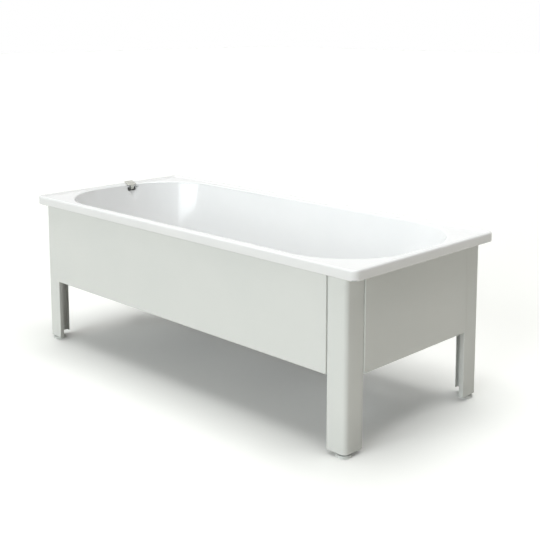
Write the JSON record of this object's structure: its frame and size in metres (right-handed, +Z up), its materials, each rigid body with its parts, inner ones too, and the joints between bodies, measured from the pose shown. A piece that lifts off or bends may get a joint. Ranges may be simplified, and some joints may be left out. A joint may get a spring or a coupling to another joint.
{
  "type": "bathtub",
  "caption": "Enamelled steel bathtub with an oblong basin, carried by folded legs with levelling feet, with a pull-off front panel and end panel.",
  "frame": {"origin": "on the floor, under the middle of the tub", "axes": "+X along the tub from the drain end to the sloping end, the front panel faces -Y, +Z up"},
  "size_m": [1.6, 0.7, 0.5687],
  "materials": {
    "enamel": "glossy white vitreous enamel on steel",
    "white_paint": "satin powder coat on folded sheet steel",
    "zinc_steel": "zinc-plated steel",
    "satin_steel": "satin stainless steel",
    "chrome": "polished chrome plate",
    "rubber": "black rubber",
    "grey_plastic": "moulded light grey plastic",
    "foot_plastic": "moulded off-white plastic"
  },
  "bodies": {
    "bath": {"tub_shell": "enamel", "overflow_box": "grey_plastic", "overflow_gasket": "rubber", "overflow_cover": "satin_steel", "waste_flange": "chrome", "waste_gasket_upper": "rubber", "waste_gasket_lower": "rubber", "waste_cup": "grey_plastic", "waste_screw": "chrome", "outlet_pipe": "grey_plastic", "outlet_nut": "grey_plastic", "outlet_seal": "rubber", "overflow_pipe": "grey_plastic", "pipe_clips": "zinc_steel", "foot_plates": "zinc_steel", "foot_nuts": "zinc_steel", "foot_locknuts": "zinc_steel", "corner_plates_upper": "zinc_steel", "corner_plates_lower": "zinc_steel", "rail_rear_upper": "zinc_steel", "rail_front_upper": "zinc_steel", "rail_rear_lower": "zinc_steel", "rail_front_lower": "zinc_steel", "rail_drain_end_lower": "zinc_steel", "rail_end_lower": "zinc_steel", "rail_end_upper": "zinc_steel", "seat_strips": "rubber", "rim_clips": "zinc_steel", "frame_bolts": "zinc_steel", "frame_nuts": "zinc_steel", "front_pegs": "zinc_steel", "end_pegs": "zinc_steel", "sound_pads": "rubber", "earth_tag": "zinc_steel", "leg_front_left": "white_paint", "leg_front_right": "white_paint", "leg_rear_left": "white_paint", "leg_rear_right": "white_paint"},
    "waste_plug": {"waste_plug": "chrome", "plug_seal": "rubber"},
    "front_panel": {"front_panel": "white_paint", "front_grips": "rubber"},
    "end_panel": {"end_panel": "white_paint", "end_grips": "rubber"},
    "foot_front_left": {"foot_pad_front_left": "foot_plastic", "foot_stud_front_left": "zinc_steel"},
    "foot_front_right": {"foot_pad_front_right": "foot_plastic", "foot_stud_front_right": "zinc_steel"},
    "foot_rear_left": {"foot_pad_rear_left": "foot_plastic", "foot_stud_rear_left": "zinc_steel"},
    "foot_rear_right": {"foot_pad_rear_right": "foot_plastic", "foot_stud_rear_right": "zinc_steel"}
  },
  "joints": [
    {"name": "foot_screw_front_left", "type": "slide", "parent": "bath", "child": "foot_front_left", "axis": [0, 0, -1], "range_m": [0, 0.025]},
    {"name": "foot_screw_front_right", "type": "slide", "parent": "bath", "child": "foot_front_right", "axis": [0, 0, -1], "range_m": [0, 0.025]},
    {"name": "foot_screw_rear_left", "type": "slide", "parent": "bath", "child": "foot_rear_left", "axis": [0, 0, -1], "range_m": [0, 0.025]},
    {"name": "foot_screw_rear_right", "type": "slide", "parent": "bath", "child": "foot_rear_right", "axis": [0, 0, -1], "range_m": [0, 0.025]},
    {"name": "front_panel_pull", "type": "slide", "parent": "bath", "child": "front_panel", "axis": [0, -1, 0], "range_m": [0, 0.25]},
    {"name": "end_panel_pull", "type": "slide", "parent": "bath", "child": "end_panel", "axis": [1, 0, 0], "range_m": [0, 0.25]},
    {"name": "plug_lift", "type": "slide", "parent": "bath", "child": "waste_plug", "axis": [0, 0, 1], "range_m": [0, 0.42]}
  ]
}
